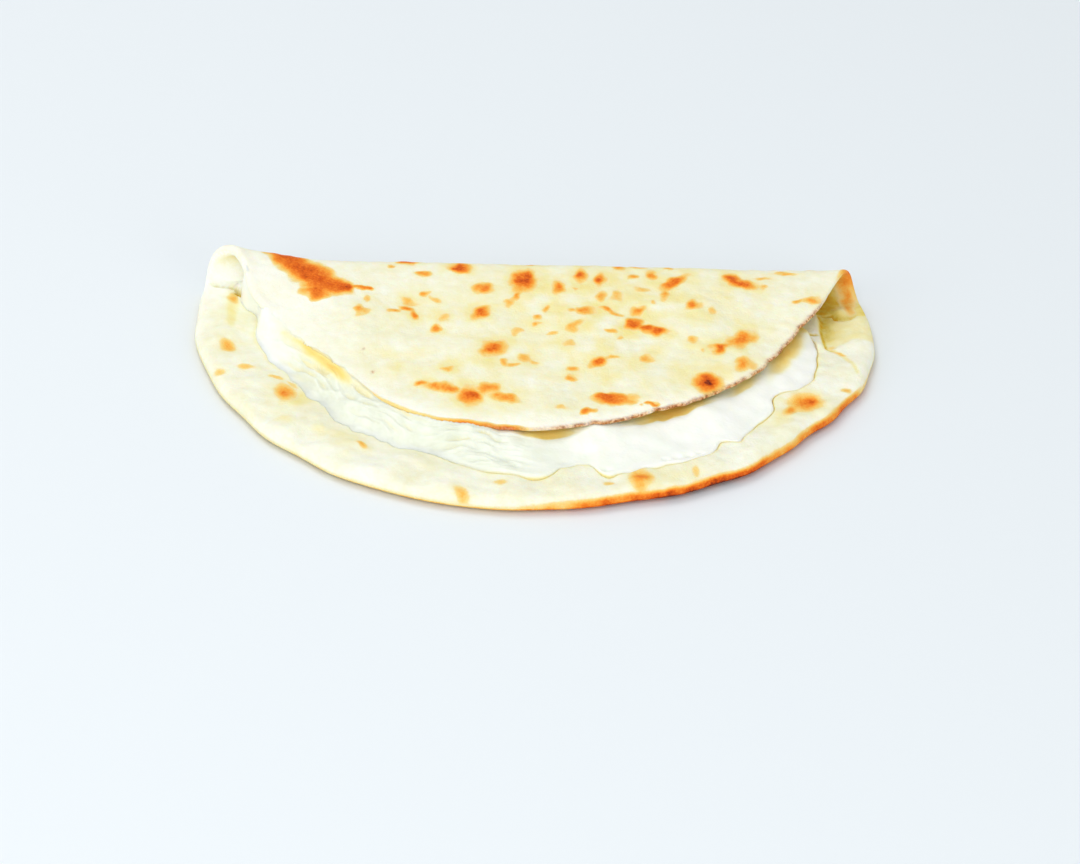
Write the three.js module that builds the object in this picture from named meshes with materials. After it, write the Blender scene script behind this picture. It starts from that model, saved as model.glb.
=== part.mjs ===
// A folded manakish: one round flatbread, folded over a layer of labneh (thick strained yoghurt).
// Millimetres, +Z up. The fold runs along X at the back (+Y) and the open side faces -Y.
// The bread is one sheet. It is laid out flat as a round, with u along the fold and v across it,
// then every point of the flat round is carried to its folded place, and the sheet gets its thickness.
import * as THREE from "three";

// ---- Driving dimensions -------------------------------------------------------------------
const ROUND_RADIUS = 124; // the round of bread before it is folded
const HALF_LEAF = 1.5; // half the thickness of the plain sheet
const FOLD_START = 11; // the bend starts this far behind the round's centre
const FOLD_ARC = 22; // length of sheet that the bend takes up
const BEND_REACH = 7; // how far the bend bulges backwards
const FOLD_RISE = 13; // height of the bend between the two leaves' middle surfaces
const LEFT_LOOP = { rise: 7.6, wide: 26 }; // the bend stands open at its left end
const RIGHT_LOOP = { rise: 4, wide: 12 }; // and at its right end
const UPPER_LEAF_FRONT = 9.9; // height of the upper leaf's middle surface at its front edge
const UPPER_LEAF_FALL = { middle: 46, left: 20, right: 20 }; // how far from the fold it has come down
const FALL_CORNER = 34; // width of the two end stretches where it comes down faster
const UPPER_LEAF_THIN = 0.3; // the upper leaf is this much thinner on each side
const EDGE_ROUND = 2.6; // width of the rounded cut edge
const EDGE_LIFT = { by: 1.3, wide: 20 }; // the lower leaf's edge curls up off the board
const MARGIN_PUFF = 2.4; // the bare margin is puffed this much higher than the bread under the labneh
const MARGIN_ROUND = 7; // width over which the puffed margin rounds down to its edge
const SHOULDER_WIDTH = 2.4; // width of the step from the labneh's bed up to the margin
const PUFF_END = { left: 10, right: 3, wide: 8 }; // where the puff ends short of the bend, and over what
const GAP = 0.4; // clearance between the bread and the labneh
const LABNEH_REACH = 107; // the labneh's edge, from the round's centre
const LABNEH_FRONT_TOP = 6.4; // height of the labneh's top by its front edge
const LABNEH_FRONT_Y = -30; // where that edge is
const LABNEH_RISE = { by: 4, wide: 62 }; // from there it rises towards the fold
const LABNEH_LOW_RIGHT = { by: 3.4, from: 20, to: 80 }; // but less on the right
const LABNEH_LIP = { wide: 5, foot: 0.3 }; // its rounded edge, and the share of the height that is upright
const LABNEH_BACK = { middle: 84, taper: 6, from: 66, to: 104 }; // where it ends behind, and at its corners
const LABNEH_HUB = 34; // a point well inside the labneh, on the line x = 0, that its rings go round
const ROUND_CENTRE_Y = 77; // the round's centre, counted from the labneh's own y = 0

// Departures of the round's outline from a circle, and of the labneh's: at an angle in degrees,
// over a width in degrees, by a distance. -90 is the front of the lower leaf, 90 the upper leaf's.
const OUTLINE_BUMPS = [
  { at: 27, wide: 23, by: -11 },
  { at: 27, wide: 5, by: 1.8 },
  { at: 100, wide: 19, by: 6.4 },
  { at: 101, wide: 6, by: -2.8 },
  { at: 126, wide: 10, by: -4.6 },
  { at: 147, wide: 20, by: -11 },
  { at: 150, wide: 6, by: 2.4 },
  { at: 164, wide: 6, by: -4 },
  { at: 168.5, wide: 4, by: 1.6 },
  { at: -180, wide: 11, by: -1.4 },
  { at: -75, wide: 27, by: -4.8 },
  { at: -38, wide: 14, by: -3.4 },
];
const LABNEH_BUMPS = [
  { at: -152, wide: 35, by: -5.5 },
  { at: -113, wide: 12, by: -3.8 },
  { at: -83.5, wide: 4, by: -8 },
  { at: -33, wide: 4, by: -8 },
  { at: 3, wide: 12, by: -20 },
];

// ---- Mesh density -------------------------------------------------------------------------
const LEAF_SECTORS = 54; // directions across each leaf's half round
const BEND_ROWS = 10; // rows of quads round the bend
const BED_SHARES = [0.2, 0.4, 0.58, 0.74, 0.88]; // rings over the labneh's bed, as shares of it
const MARGIN_SHARES = [0.35, 0.65]; // rings between the shoulder and the rounded edge
const EDGE_DEPTHS = [4.2, 2.2, 1, 0.25, 0]; // rings by their distance in from the outline
const NARROWEST_MARGIN = 12; // the shoulder's ring keeps this far in from the outline
const LABNEH_SECTORS = 120; // directions all round the labneh
const LABNEH_SHARES = [0.25, 0.5, 0.72, 0.88]; // rings over the labneh's middle
const LABNEH_EDGE_DEPTHS = [4, 2.4, 1.1, 0.35, 0]; // and over its rounded edge, by their distance in

// ---- Small helpers ------------------------------------------------------------------------
const clamp01 = (t) => Math.min(1, Math.max(0, t));
const smooth = (t) => clamp01(t) ** 2 * (3 - 2 * clamp01(t));
const mix = (a, b, t) => a + (b - a) * t;
const bell = (t) => Math.exp(-t * t);
const degreesOf = (u, v) => (Math.atan2(v, u) * 180) / Math.PI;
const turnBetween = (a, b) => ((((a - b + 180) % 360) + 360) % 360) - 180;
const quarterRound = (t) => Math.sqrt(1 - (1 - clamp01(t)) ** 2);
const bumpsAt = (bumps, angle) =>
  bumps.reduce((sum, b) => sum + b.by * bell(turnBetween(angle, b.at) / b.wide), 0);

// ---- The flat round -----------------------------------------------------------------------
const outlineRadius = (angle) => ROUND_RADIUS + bumpsAt(OUTLINE_BUMPS, angle);
const labnehRadius = (angle) => LABNEH_REACH + bumpsAt(LABNEH_BUMPS, angle);
const fromOutline = (u, v) => outlineRadius(degreesOf(u, v)) - Math.hypot(u, v);
const fromLabneh = (u, v) => Math.hypot(u, v) - labnehRadius(degreesOf(u, v));

// The distance along a ray from a hub at which a falling function of the place reaches zero.
function reach(hubU, hubV, angle, inside) {
  let low = 0;
  let high = 2 * ROUND_RADIUS;
  for (let i = 0; i < 40; i += 1) {
    const middle = (low + high) / 2;
    if (inside(hubU + middle * Math.cos(angle), hubV + middle * Math.sin(angle)) > 0) low = middle;
    else high = middle;
  }
  return low;
}

// ---- Folding the sheet --------------------------------------------------------------------
// How much each end of the fold stands open, 1 at the end and 0 towards the middle.
const leftOpen = (u) => bell((u + ROUND_RADIUS) / LEFT_LOOP.wide);
const rightOpen = (u) => bell((u - ROUND_RADIUS) / RIGHT_LOOP.wide);
const foldRise = (u) => FOLD_RISE + LEFT_LOOP.rise * leftOpen(u) + RIGHT_LOOP.rise * rightOpen(u);
const upperFall = (u) =>
  UPPER_LEAF_FALL.middle +
  (UPPER_LEAF_FALL.left - UPPER_LEAF_FALL.middle) * bell((u + ROUND_RADIUS) / FALL_CORNER) +
  (UPPER_LEAF_FALL.right - UPPER_LEAF_FALL.middle) * bell((u - ROUND_RADIUS) / FALL_CORNER);

// The middle surface of the upper leaf, at a distance forwards from the fold.
function upperMiddle(u, forwards) {
  const ridge = HALF_LEAF + foldRise(u);
  const fallen = bell(forwards / upperFall(u));
  return mix(UPPER_LEAF_FRONT, ridge, fallen);
}

// Carries a point of the flat round to its place on the folded sheet's middle surface.
function foldedMiddle(u, v) {
  const foldY = ROUND_CENTRE_Y + FOLD_START;
  if (v <= FOLD_START) {
    const curl = clamp01(1 - fromOutline(u, v) / EDGE_LIFT.wide) ** 2;
    return new THREE.Vector3(u, ROUND_CENTRE_Y + v, HALF_LEAF + EDGE_LIFT.by * curl);
  }
  if (v < FOLD_START + FOLD_ARC) {
    const turn = ((v - FOLD_START) / FOLD_ARC) * Math.PI;
    const curl = clamp01(1 - fromOutline(u, v) / EDGE_LIFT.wide) ** 2;
    const low = HALF_LEAF + EDGE_LIFT.by * curl * smooth(1 - turn / Math.PI);
    const high = HALF_LEAF + foldRise(u);
    const share = (1 - Math.cos(turn)) / 2;
    return new THREE.Vector3(u, foldY + BEND_REACH * Math.sin(turn), mix(low, high, share));
  }
  const forwards = v - FOLD_START - FOLD_ARC;
  return new THREE.Vector3(u, foldY - forwards, upperMiddle(u, forwards));
}

// The unit normal of the middle surface, towards the labneh.
function inwardNormal(u, v) {
  const step = 0.05;
  const alongU = foldedMiddle(u + step, v).sub(foldedMiddle(u - step, v));
  const alongV = foldedMiddle(u, v + step).sub(foldedMiddle(u, v - step));
  return alongU.cross(alongV).normalize();
}

// How much of the margin's puff there is: none on the labneh's bed, in the bend and on the upper leaf.
function puffShare(u, v) {
  const outOfBed = smooth(fromLabneh(u, v) / SHOULDER_WIDTH);
  const end = u < 0 ? PUFF_END.left : PUFF_END.right;
  return outOfBed * smooth((end - v) / PUFF_END.wide);
}

// The sheet's thickness on its inner side, towards the labneh, and on its outer side.
function innerOffset(u, v) {
  const depth = fromOutline(u, v);
  const puff = puffShare(u, v);
  const thinner = UPPER_LEAF_THIN * smooth((v - FOLD_START) / FOLD_ARC);
  const rounding = mix(EDGE_ROUND, MARGIN_ROUND, puff);
  return (HALF_LEAF - thinner + MARGIN_PUFF * puff) * quarterRound(depth / rounding);
}
function outerOffset(u, v) {
  const thinner = UPPER_LEAF_THIN * smooth((v - FOLD_START) / FOLD_ARC);
  return (HALF_LEAF - thinner) * quarterRound(fromOutline(u, v) / EDGE_ROUND);
}

// ---- Meshing ------------------------------------------------------------------------------
// Collects vertices and quads, and gives an indexed geometry.
class Skin {
  constructor() {
    this.places = [];
    this.faces = [];
  }
  vertex(place) {
    this.places.push(place.x, place.y, place.z);
    return this.places.length / 3 - 1;
  }
  quad(a, b, c, d) {
    this.triangle(a, b, c);
    this.triangle(a, c, d);
  }
  triangle(a, b, c) {
    if (a !== b && b !== c && c !== a) this.faces.push(a, b, c);
  }
  geometry() {
    const made = new THREE.BufferGeometry();
    made.setAttribute("position", new THREE.Float32BufferAttribute(this.places, 3));
    made.setIndex(this.faces);
    made.computeVertexNormals();
    return made;
  }
}

// The rings' distances from a leaf's hub along one direction: over the labneh's bed, up the shoulder,
// across the margin and round the edge.
function ringDistances(hubV, angle) {
  const edge = reach(0, hubV, angle, fromOutline);
  const bed = reach(0, hubV, angle, (u, v) => -fromLabneh(u, v));
  const inShoulder = Math.min(bed, edge - NARROWEST_MARGIN);
  const outShoulder = inShoulder + SHOULDER_WIDTH;
  const marginEnd = edge - EDGE_DEPTHS[0];
  return [
    ...BED_SHARES.map((share) => share * inShoulder),
    inShoulder,
    outShoulder,
    ...MARGIN_SHARES.map((share) => mix(outShoulder, marginEnd, share)),
    ...EDGE_DEPTHS.map((depth) => edge - depth),
  ];
}

// The flat round as a grid of points: a half-round fan below the bend, rows across the bend, and a
// half-round fan above it. Each face names its corners by their number in the list of points.
function flatLayout() {
  const points = [];
  const quads = [];
  const onEdge = [];
  const add = (u, v, edge) => {
    points.push([u, v]);
    onEdge.push(edge);
    return points.length - 1;
  };
  const fan = (hubV, from, hub) => {
    const spokes = [];
    for (let j = 0; j <= LEAF_SECTORS; j += 1) {
      const angle = from + (Math.PI * j) / LEAF_SECTORS;
      const rings = ringDistances(hubV, angle);
      spokes.push(
        rings.map((r, i) => add(r * Math.cos(angle), hubV + r * Math.sin(angle), i === rings.length - 1)),
      );
    }
    for (let j = 0; j < LEAF_SECTORS; j += 1) {
      const [here, next] = [spokes[j], spokes[j + 1]];
      quads.push([hub, here[0], next[0], hub]);
      for (let i = 0; i + 1 < here.length; i += 1) quads.push([here[i], here[i + 1], next[i + 1], next[i]]);
    }
    return spokes;
  };
  const lowerHub = add(0, FOLD_START, false);
  const upperHub = add(0, FOLD_START + FOLD_ARC, false);
  const lower = fan(FOLD_START, -Math.PI, lowerHub);
  const upper = fan(FOLD_START + FOLD_ARC, 0, upperHub);
  // Each line of the bend runs from the left edge through the hub to the right edge.
  const lineOf = (left, hub, right) => [...[...left].reverse(), hub, ...right];
  const first = lineOf(lower[0], lowerHub, lower[LEAF_SECTORS]);
  const last = lineOf(upper[LEAF_SECTORS], upperHub, upper[0]);
  const halfWidth = (v, side) => reach(0, v, side < 0 ? Math.PI : 0, fromOutline);
  let before = first;
  for (let k = 1; k <= BEND_ROWS; k += 1) {
    const share = k / BEND_ROWS;
    const v = FOLD_START + share * FOLD_ARC;
    const row =
      k === BEND_ROWS
        ? last
        : first.map((p, i) => {
            const side = Math.sign(i - (first.length - 1) / 2);
            if (side === 0) return add(0, v, false);
            const lowerShare = points[p][0] / halfWidth(FOLD_START, side);
            const upperShare = points[last[i]][0] / halfWidth(FOLD_START + FOLD_ARC, side);
            const u = mix(lowerShare, upperShare, share) * halfWidth(v, side);
            return add(u, v, i === 0 || i === first.length - 1);
          });
    for (let i = 0; i + 1 < row.length; i += 1) quads.push([before[i], before[i + 1], row[i + 1], row[i]]);
    before = row;
  }
  return { points, quads, onEdge };
}

// The bread: an inner and an outer skin over the same flat layout, sharing the points of the edge.
function breadGeometry() {
  const { points, quads, onEdge } = flatLayout();
  const skin = new Skin();
  const inner = [];
  const outer = [];
  points.forEach(([u, v], p) => {
    const middle = foldedMiddle(u, v);
    if (onEdge[p]) {
      inner[p] = skin.vertex(middle);
      outer[p] = inner[p];
      return;
    }
    const normal = inwardNormal(u, v);
    inner[p] = skin.vertex(middle.clone().addScaledVector(normal, innerOffset(u, v)));
    outer[p] = skin.vertex(middle.clone().addScaledVector(normal, -outerOffset(u, v)));
  });
  for (const [a, b, c, d] of quads) {
    skin.quad(inner[a], inner[b], inner[c], inner[d]);
    skin.quad(outer[d], outer[c], outer[b], outer[a]);
  }
  return skin.geometry();
}

// ---- The labneh ---------------------------------------------------------------------------
// Its margin of distance inside its outline, seen from above: positive inside.
function insideLabneh(x, y) {
  const toFront = -fromLabneh(x, y - ROUND_CENTRE_Y) - GAP;
  const corner = smooth((Math.abs(x) - LABNEH_BACK.from) / (LABNEH_BACK.to - LABNEH_BACK.from));
  const toBack = LABNEH_BACK.middle - LABNEH_BACK.taper * corner - y;
  return Math.min(toFront, toBack);
}

// The height of its top, away from its rounded edge. The upper leaf presses it down where they meet.
function labnehTop(x, y) {
  const { from, to } = LABNEH_LOW_RIGHT;
  const rise = LABNEH_RISE.by - LABNEH_LOW_RIGHT.by * smooth((x - from) / (to - from));
  const free = LABNEH_FRONT_TOP + rise * smooth((y - LABNEH_FRONT_Y) / LABNEH_RISE.wide);
  const forwards = Math.max(0, ROUND_CENTRE_Y + FOLD_START - y);
  const under = upperMiddle(x, forwards) - (HALF_LEAF - UPPER_LEAF_THIN) - GAP;
  return Math.min(free, under);
}

function labnehGeometry() {
  const bed = 2 * HALF_LEAF + GAP;
  const skin = new Skin();
  const topHub = skin.vertex(new THREE.Vector3(0, LABNEH_HUB, labnehTop(0, LABNEH_HUB)));
  const bedHub = skin.vertex(new THREE.Vector3(0, LABNEH_HUB, bed));
  const spokes = [];
  for (let j = 0; j < LABNEH_SECTORS; j += 1) {
    const angle = (2 * Math.PI * j) / LABNEH_SECTORS;
    const edge = reach(0, LABNEH_HUB, angle, insideLabneh);
    const middleEnd = edge - LABNEH_EDGE_DEPTHS[0];
    const distances = [
      ...LABNEH_SHARES.map((share) => share * middleEnd),
      ...LABNEH_EDGE_DEPTHS.map((depth) => edge - depth),
    ];
    const spoke = distances.map((distance) => {
      const x = distance * Math.cos(angle);
      const y = LABNEH_HUB + distance * Math.sin(angle);
      const swell = quarterRound((edge - distance) / LABNEH_LIP.wide);
      const crest = mix(bed, labnehTop(x, y), mix(LABNEH_LIP.foot, 1, swell));
      return skin.vertex(new THREE.Vector3(x, y, crest));
    });
    const [x, y] = [edge * Math.cos(angle), LABNEH_HUB + edge * Math.sin(angle)];
    spoke.push(skin.vertex(new THREE.Vector3(x, y, bed)));
    spokes.push(spoke);
  }
  spokes.forEach((here, j) => {
    const next = spokes[(j + 1) % spokes.length];
    skin.triangle(topHub, here[0], next[0]);
    for (let i = 0; i + 1 < here.length; i += 1) skin.quad(here[i], here[i + 1], next[i + 1], next[i]);
    skin.triangle(bedHub, next[next.length - 1], here[here.length - 1]);
  });
  return skin.geometry();
}

// ---- Assembly -----------------------------------------------------------------------------
const bread = new THREE.Mesh(
  breadGeometry(),
  new THREE.MeshStandardMaterial({ color: 0xf3ecc9, roughness: 0.75, metalness: 0 }),
);
bread.name = "bread";

const labneh = new THREE.Mesh(
  labnehGeometry(),
  new THREE.MeshStandardMaterial({ color: 0xf8f9f2, roughness: 0.45, metalness: 0 }),
);
labneh.name = "labneh";

// The origin is under the middle of the whole, on the surface that it lies on.
const manakish = new THREE.Group();
manakish.add(bread, labneh);
const extent = new THREE.Box3().setFromObject(manakish);
const middle = extent.getCenter(new THREE.Vector3());
for (const piece of [bread, labneh]) piece.position.set(-middle.x, -middle.y, -extent.min.z);

export default manakish;
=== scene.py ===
import math

import bpy
import numpy as np
from mathutils import Matrix, Vector


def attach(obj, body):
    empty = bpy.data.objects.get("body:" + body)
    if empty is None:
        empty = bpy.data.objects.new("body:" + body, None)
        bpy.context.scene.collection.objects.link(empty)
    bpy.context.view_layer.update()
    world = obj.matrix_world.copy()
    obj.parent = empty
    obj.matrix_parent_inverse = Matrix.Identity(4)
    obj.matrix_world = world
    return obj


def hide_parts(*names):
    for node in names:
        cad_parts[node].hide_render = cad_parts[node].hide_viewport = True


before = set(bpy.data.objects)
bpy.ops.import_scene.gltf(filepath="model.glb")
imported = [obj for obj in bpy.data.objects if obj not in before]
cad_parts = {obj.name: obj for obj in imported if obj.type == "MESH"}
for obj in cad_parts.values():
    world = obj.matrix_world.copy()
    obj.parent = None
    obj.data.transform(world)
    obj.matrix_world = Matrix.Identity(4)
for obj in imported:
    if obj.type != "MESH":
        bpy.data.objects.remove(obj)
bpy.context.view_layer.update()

MM = 0.001
RIPPLE_WAVES = 18
HALVINGS = 34  # of the interval that reach() searches

# ---- The folded sheet, as in the part's source ----
ROUND_RADIUS = 124.0
ROUND_CENTRE_Y = 50.7  # the flat round's centre in the part's frame
HALF_LEAF = 1.5
FOLD_START = 11.0
FOLD_ARC = 22.0
FOLD_END = FOLD_START + FOLD_ARC
BEND_REACH = 7.0
FOLD_RISE = 13.0
LEFT_LOOP = (7.6, 26.0)  # extra height at the fold's left end, and its width
RIGHT_LOOP = (4.0, 12.0)
UPPER_LEAF_FRONT = 9.9
UPPER_LEAF_FALL = (46.0, 20.0, 20.0)  # middle, left end, right end
FALL_CORNER = 34.0
UPPER_LEAF_THIN = 0.3
EDGE_ROUND = 2.6
EDGE_LIFT = 0.9
EDGE_LIFT_WIDE = 20.0
MARGIN_PUFF = 2.4
MARGIN_ROUND = 7.0
LABNEH_REACH = 107.0
SMEARED_EDGE = -136  # the direction in which the labneh's edge is smeared most over the margin

# Departures from a circle: (angle in degrees, its width, distance).
OUTLINE_BUMPS = [
    (13, 4, 1.6), (27, 23, -11), (27, 5, 1.8), (100, 19, 6.4), (100, 5, -2.6), (126, 10, -4.6),
    (147, 20, -11), (150, 6, 2.4), (158.5, 3, -1), (164, 6, -4), (168.5, 4, 1.6), (-180, 11, -1.4),
    (-75, 27, -4.8), (-38, 14, -3.4),
]
LABNEH_BUMPS = [(-152, 35, -5.5), (-113, 12, -3.8), (-83.5, 4, -8), (-33, 4.4, -7.4), (3, 12, -20)]

# Finer bends in the groove where the margin meets the labneh.
GROOVE_BUMPS = [
    (179, 3, 3), (-175, 5, -3), (-154, 4, -1.5), (-109, 5, -2.2), (-86.5, 1.4, -1), (-84.5, 1.6, 2),
    (-80.3, 1.2, -1.8), (-77.5, 1.6, 1.2), (-144, 9, -3.4), (-125, 8, -1.6), (-59, 5, 1.5),
    (-52.5, 1.8, -3), (-50.3, 1.4, 2), (-42, 5, -2.4), (-17, 4, -1.2),
]
# Small nicks in the upper leaf's edge, which looks cut.
NICKS = [
    (34.5, 0.7, -0.6), (40.6, 0.6, -0.8), (46.2, 0.7, -0.9), (71, 0.6, -0.6), (81.5, 0.8, -1),
    (93.6, 1, -1.1),
]
EDGE_LIFT_BUMPS = [(-52, 26, 0.7)]  # the front's right curls up more
LIP_OVERHANG = 0.9  # how far the margin's lip leans out over the labneh

# ---- Creases in the bread ----
# At either end the puffed margin stops against the bend along a line: (u, v) places, left to right.
LEFT_MARGIN_END = [
    (-124, 17.5), (-118.5, 14.5), (-115, 12.6), (-112, 11), (-109, 9.8), (-106.5, 7.5), (-103, 3),
    (-98, 0),
]
RIGHT_MARGIN_END = [
    (97, 3), (103, 3), (106, 2.5), (108.5, 1.8), (109.3, -0.8), (111, -1.6), (114, -1.3), (116, 0.3),
    (121, 2.5),
]
RIGHT_PLEAT = [
    (102.8, 1), (103.2, -8), (103.7, -18.5), (104.5, -21.5), (108, -24), (110, -26.5), (114, -38),
]
# Other sharp creases: (places, half width, depth).
SHARP_CREASES = [
    ([(95, -12.5), (98, -13), (101, -13)], 0.6, 0.9),
    (RIGHT_MARGIN_END[1:8], 0.6, 1.8),
    ([(-108.5, 7.4), (-106, 6)], 0.8, 2.2),
]
LOOP_RIM_ANGLE = 162.0  # where the sheet's rim shows as a white bead in the left loop


def smooth(t):
    t = np.clip(t, 0.0, 1.0)
    return t * t * (3.0 - 2.0 * t)


def mix(a, b, t):
    return a + (b - a) * t


def bell(t):
    return np.exp(-t * t)


def step_up(value, start, wide):
    """0 up to start, then smoothly up to 1 over the given width."""
    return smooth((value - start) / wide)


def hump(value, middle, wide):
    """1 at the middle, fading over about the given width on either side."""
    return bell((value - middle) / wide)


def quarter_round(t):
    return np.sqrt(np.maximum(0.0, 1.0 - (1.0 - np.clip(t, 0.0, 1.0)) ** 2))


def degrees_of(u, v):
    return np.degrees(np.arctan2(v, u))


def near_angle(angle, at, wide):
    """1 at the angle at, fading over about wide degrees on either side."""
    return bell(((angle - at + 180.0) % 360.0 - 180.0) / wide)


def ripples(x, y, size, seed):
    """A smooth random field of about unit spread, with swells about size across."""
    draw = np.random.default_rng(seed)
    total = np.zeros(np.broadcast(x, y).shape)
    for _ in range(RIPPLE_WAVES):
        way = draw.uniform(0.0, 2.0 * np.pi)
        wave = 2.0 * np.pi / (size * draw.uniform(1.4, 2.6))
        phase = draw.uniform(0.0, 2.0 * np.pi)
        total += np.sin(wave * (x * np.cos(way) + y * np.sin(way)) + phase)
    return total * np.sqrt(2.0 / RIPPLE_WAVES)


# ---- The flat round ----
def bumps_at(bumps, angle):
    return sum(by * near_angle(angle, at, wide) for at, wide, by in bumps)


def outline_radius(angle):
    turn = np.radians(angle)
    ragged = step_up(angle, 15, 25) * (1.0 - step_up(angle, 98, 12))
    uneven = 0.3 * ripples(60 * np.cos(turn), 60 * np.sin(turn), 7.0, 11)
    fine = 0.14 * ripples(120 * np.cos(turn), 120 * np.sin(turn), 2.4, 12)
    return ROUND_RADIUS + bumps_at(OUTLINE_BUMPS + NICKS, angle) + uneven + ragged * fine


def groove_sharpness(angle):
    """1 where the margin meets the labneh in a sharp crease, 0 at the left where it slopes down."""
    return step_up(np.where(angle > 90.0, angle - 360.0, angle), -114, 22)


def smeared_edge(angle):
    """1 along the left of the front, where the labneh's edge is smeared over the margin."""
    return near_angle(angle, SMEARED_EDGE, 20)


def groove_radius(angle):
    x, y = 105 * np.cos(np.radians(angle)), 105 * np.sin(np.radians(angle))
    wavy = 0.25 * ripples(x, y, 5.0, 21)
    ragged = 0.4 * ripples(x, y, 6.0, 22) + 0.3 * ripples(x, y, 2.4, 23)
    wavy = wavy + smeared_edge(angle) * ragged
    return LABNEH_REACH + bumps_at(LABNEH_BUMPS + GROOVE_BUMPS, angle) + wavy


def from_outline(u, v):
    return outline_radius(degrees_of(u, v)) - np.hypot(u, v)


def from_groove(u, v):
    return np.hypot(u, v) - groove_radius(degrees_of(u, v))


def reach(hub, angle, inside):
    """How far it is from (0, hub), along each direction in radians, to where inside is zero."""
    low = np.zeros_like(angle)
    high = np.full_like(angle, 2.0 * ROUND_RADIUS)
    for _ in range(HALVINGS):
        half = 0.5 * (low + high)
        within = inside(half * np.cos(angle), hub + half * np.sin(angle)) > 0.0
        low = np.where(within, half, low)
        high = np.where(within, high, half)
    return low


# ---- Folding ----
def fold_rise(u):
    left = LEFT_LOOP[0] * hump(u, -ROUND_RADIUS, LEFT_LOOP[1])
    right = RIGHT_LOOP[0] * hump(u, ROUND_RADIUS, RIGHT_LOOP[1])
    return FOLD_RISE + left + right + 0.25 * ripples(u, 0.0, 22.0, 31)


def upper_middle(u, forwards):
    middle, left, right = UPPER_LEAF_FALL
    fall = middle + (left - middle) * hump(u, -ROUND_RADIUS, FALL_CORNER)
    fall = fall + (right - middle) * hump(u, ROUND_RADIUS, FALL_CORNER)
    front = UPPER_LEAF_FRONT + step_up(u, 5, 50) - 0.5 * step_up(-u, 10, 60)
    ridge = HALF_LEAF + fold_rise(u)
    swell = 0.4 * ripples(u, forwards, 24.0, 32) + 0.12 * ripples(u, forwards, 8.0, 33)
    return mix(front, ridge, bell(forwards / fall)) + swell * smooth(forwards / 25.0)


def folded_middle(u, v):
    """The middle surface of the folded sheet, as an array of points."""
    angle = degrees_of(u, v)
    lift = EDGE_LIFT + bumps_at(EDGE_LIFT_BUMPS, angle)
    curl = lift * np.clip(1.0 - from_outline(u, v) / EDGE_LIFT_WIDE, 0.0, 1.0) ** 2
    turn = np.clip((v - FOLD_START) / FOLD_ARC, 0.0, 1.0)
    low = HALF_LEAF + curl * smooth(1.0 - turn)
    high = HALF_LEAF + fold_rise(u)
    bend = mix(low, high, 0.5 * (1.0 - np.cos(np.pi * turn)))
    forwards = np.maximum(v - FOLD_END, 0.0)
    z = np.where(v < FOLD_END, bend, upper_middle(u, forwards))
    back = ROUND_CENTRE_Y + FOLD_START + BEND_REACH * np.sin(np.pi * turn)
    y = np.where(v < FOLD_START, ROUND_CENTRE_Y + v, back - forwards)
    return np.stack([u + 0.0 * v, y, z], axis=-1)


def inward_normal(u, v, step=0.15):
    along_u = folded_middle(u + step, v) - folded_middle(u - step, v)
    along_v = folded_middle(u, v + step) - folded_middle(u, v - step)
    normal = np.cross(along_u, along_v)
    return normal / np.linalg.norm(normal, axis=-1, keepdims=True)


# ---- Thickness ----
def from_line(u, v, places):
    """Distance from the line through the given places."""
    nearest = np.full(np.shape(u), 1e9)
    for (start_u, start_v), (end_u, end_v) in zip(places, places[1:]):
        du, dv = end_u - start_u, end_v - start_v
        share = np.clip(((u - start_u) * du + (v - start_v) * dv) / (du * du + dv * dv), 0.0, 1.0)
        nearest = np.minimum(nearest, np.hypot(u - start_u - share * du, v - start_v - share * dv))
    return nearest


def before_margin_end(u, v):
    """How far in front of the margin's end a place is, at the left and the right of the fold."""
    left = np.interp(u, *zip(*LEFT_MARGIN_END))
    right = np.interp(u, *zip(*RIGHT_MARGIN_END))
    return np.where(u < 0.0, left, right) - v


def margin_end_width(u):
    """How gently the margin ends: softly at the far left, where it runs into the loop."""
    return mix(3.6, 1.3, step_up(u, -118, 8))


def past_pleat(u, v):
    """1 on the flap at the margin's right end, past the pleat."""
    front = 0.8 * np.clip(u - 106.0, 0.0, 8.0) - 24.0
    return step_up(u, 102, 3) * step_up(v, front, 3)


def margin_puff(u, v):
    out = from_groove(u, v)
    depth = from_outline(u, v)
    angle = degrees_of(u, v)
    sharp = groove_sharpness(angle)
    rise = mix(0.45 + 0.55 * step_up(out, -1, 9), quarter_round(out / 1.1), sharp)
    under = mix(step_up(out, -9, 9), 1.0, sharp)
    fall = quarter_round(depth / MARGIN_ROUND)
    lumps = 1.0 + 0.17 * ripples(u, v, 9.0, 41) + 0.05 * ripples(u, v, 3.6, 42)
    lumps = lumps - past_pleat(u, v) * (0.3 + 0.35 * hump(u, 104, 3.5))
    ending = smooth(before_margin_end(u, v) / margin_end_width(u))
    return MARGIN_PUFF * lumps * rise * under * fall * ending


def crease_depth(u, v):
    bent_u = u + 0.3 * ripples(u, v, 9.0, 44)
    bent_v = v + 0.3 * ripples(u, v, 9.0, 45)
    pleat = bell(from_line(bent_u, bent_v, RIGHT_PLEAT))
    depth = pleat * mix(0.9, 0.25, step_up(-v, 21, 4))
    for places, wide, deep in SHARP_CREASES:
        depth = np.maximum(depth, deep * bell(from_line(bent_u, bent_v, places) / wide))
    left_end = bell(from_line(u, v, LEFT_MARGIN_END[1:6]) / 0.7)
    depth = np.maximum(depth, mix(0.35, 0.8, step_up(u, -114, 5)) * left_end)
    return depth * smooth(from_outline(u, v) / 4.0)


def loop_bead(u, v):
    """The sheet swells a little along its rim where it loops over at the left."""
    along = near_angle(degrees_of(u, v), LOOP_RIM_ANGLE, 18)
    return 0.5 * along * hump(from_outline(u, v), 1.6, 1.7)


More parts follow.
